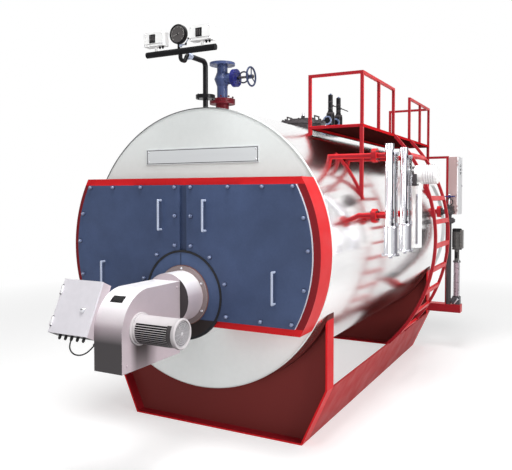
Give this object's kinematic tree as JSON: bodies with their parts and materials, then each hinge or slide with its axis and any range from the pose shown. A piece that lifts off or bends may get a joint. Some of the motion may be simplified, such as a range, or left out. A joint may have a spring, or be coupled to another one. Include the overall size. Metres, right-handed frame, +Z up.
{
  "type": "fire-tube steam boiler",
  "caption": "Horizontal fire-tube steam boiler on red saddles: polished jacket, blue smoke box doors, forced draught burner, steam valve, platform, bent ladder, level columns and feed pump.",
  "frame": {"origin": "on the floor, under the middle of the front saddle", "axes": "+X to the right seen from the burner end, +Y along the shell to the rear, +Z up"},
  "size_m": [2.733, 5.645, 3.314],
  "materials": {
    "red_paint": "gloss red enamel",
    "door_blue": "satin slate blue paint",
    "jacket_steel": "mirror-polished stainless sheet",
    "plate_grey": "satin light grey paint",
    "burner_silver": "silver-grey hammered paint",
    "motor_grey": "cast aluminium, lightly painted",
    "box_grey": "fine textured light grey paint",
    "valve_blue": "gloss blue paint on cast iron",
    "black_paint": "black paint on steel pipe",
    "white_paint": "white powder coat",
    "bright_steel": "bright drawn steel",
    "pump_grey": "dark grey paint on cast iron",
    "glass": "clear gauge glass",
    "black_rubber": "matt black rubber",
    "floor_steel": "chequer plate painted dark red"
  },
  "bodies": {
    "boiler": {"shell_jacket": "jacket_steel", "front_end_plate": "plate_grey", "rear_end_plate": "plate_grey", "smoke_box": "red_paint", "left_smoke_door": "door_blue", "right_smoke_door": "door_blue", "door_centre_strip": "door_blue", "door_handles": "bright_steel", "burner_drum": "door_blue", "burner_plate": "door_blue", "burner_gasket": "black_rubber", "name_plate": "plate_grey", "burner_duct": "burner_silver", "burner_housing": "burner_silver", "burner_motor": "motor_grey", "motor_fan_cowl": "motor_grey", "control_box_case": "box_grey", "cable_glands": "black_rubber", "housing_gland": "black_rubber", "burner_cable": "black_rubber", "front_saddle": "red_paint", "rear_saddle": "red_paint", "side_sills": "red_paint", "steam_nozzle": "red_paint", "steam_valve_body": "valve_blue", "steam_valve_bonnet": "valve_blue", "gauge_riser": "black_paint", "gauge_manifold": "black_paint", "pressure_gauge": "black_paint", "pressure_switches": "white_paint", "manhole": "black_paint", "safety_valves": "black_paint", "platform_floor": "floor_steel", "platform_frame": "red_paint", "platform_brackets": "red_paint", "side_railings": "red_paint", "end_railings": "red_paint", "ladder": "red_paint", "level_columns": "white_paint", "gauge_glasses": "glass", "level_controller": "white_paint", "level_pipes": "red_paint", "pump_beam": "red_paint", "panel_post": "red_paint", "panel_stay": "red_paint", "feed_pump": "pump_grey", "feed_pipe": "black_paint", "feed_nozzle": "red_paint", "control_panel_case": "bright_steel", "rear_smoke_box": "red_paint", "rear_cover": "door_blue", "flue_collar": "red_paint"},
    "control_box_door": {"control_box_door": "box_grey"},
    "panel_door": {"control_panel_door": "white_paint"},
    "steam_wheel": {"steam_valve_wheel": "valve_blue"},
    "feed_wheel": {"feed_valve_wheel": "valve_blue"}
  },
  "joints": [
    {"name": "control_box_door_hinge", "type": "hinge", "parent": "boiler", "child": "control_box_door", "pos_m": [-0.471, -1.46179, 1.05453], "axis": [0, -0.4337, -0.9011], "range_deg": [0, 110]},
    {"name": "panel_door_hinge", "type": "hinge", "parent": "boiler", "child": "panel_door", "pos_m": [1.3795, 3.602, 1.749], "axis": [0, 0, -1], "range_deg": [0, 110]},
    {"name": "steam_wheel_turn", "type": "hinge", "parent": "boiler", "child": "steam_wheel", "pos_m": [0.2723, 0.091, 2.996], "axis": [1, 0, 0], "range_deg": [0, 990]},
    {"name": "feed_wheel_turn", "type": "hinge", "parent": "boiler", "child": "feed_wheel", "pos_m": [1.296, 3.5322, 1.9673], "axis": [0, 0, 1], "range_deg": [0, 990]}
  ]
}
